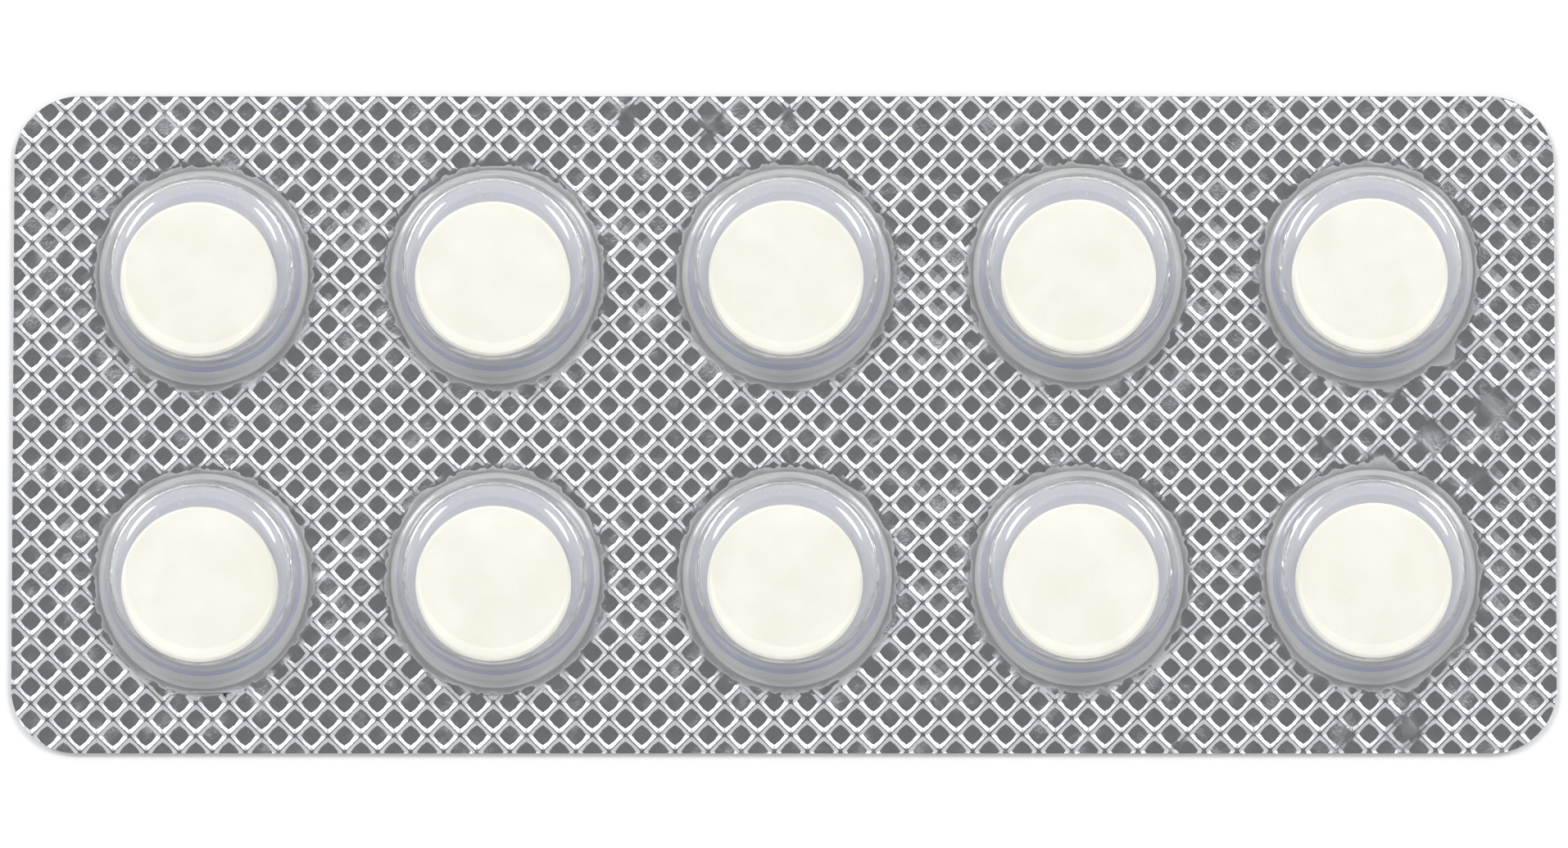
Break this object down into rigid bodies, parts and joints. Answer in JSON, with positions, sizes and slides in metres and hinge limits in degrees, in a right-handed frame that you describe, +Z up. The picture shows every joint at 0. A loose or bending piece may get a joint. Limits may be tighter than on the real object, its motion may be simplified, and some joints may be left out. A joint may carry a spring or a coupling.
{
  "type": "pill blister pack",
  "caption": "Clear push-through blister strip: flat round tablets in domed pockets, sealed on the back with aluminium foil.",
  "frame": {"origin": "centre of the lidding foil's underside, the face the strip rests on", "axes": "+X along the strip, +Y across it towards the first row of pockets, +Z up through the pockets"},
  "size_m": [0.094, 0.0402, 0.0047],
  "materials": {
    "clear_film": "clear, glossy, thermoformed",
    "foil": "bright, knurled by the sealing plate",
    "tablet": "matt pressed powder, off-white"
  },
  "bodies": {
    "root": {"forming_film": "clear_film", "lidding_foil": "foil", "tablet_01": "tablet", "tablet_02": "tablet", "tablet_03": "tablet", "tablet_04": "tablet", "tablet_05": "tablet", "tablet_06": "tablet", "tablet_07": "tablet", "tablet_08": "tablet", "tablet_09": "tablet", "tablet_10": "tablet"}
  },
  "joints": []
}
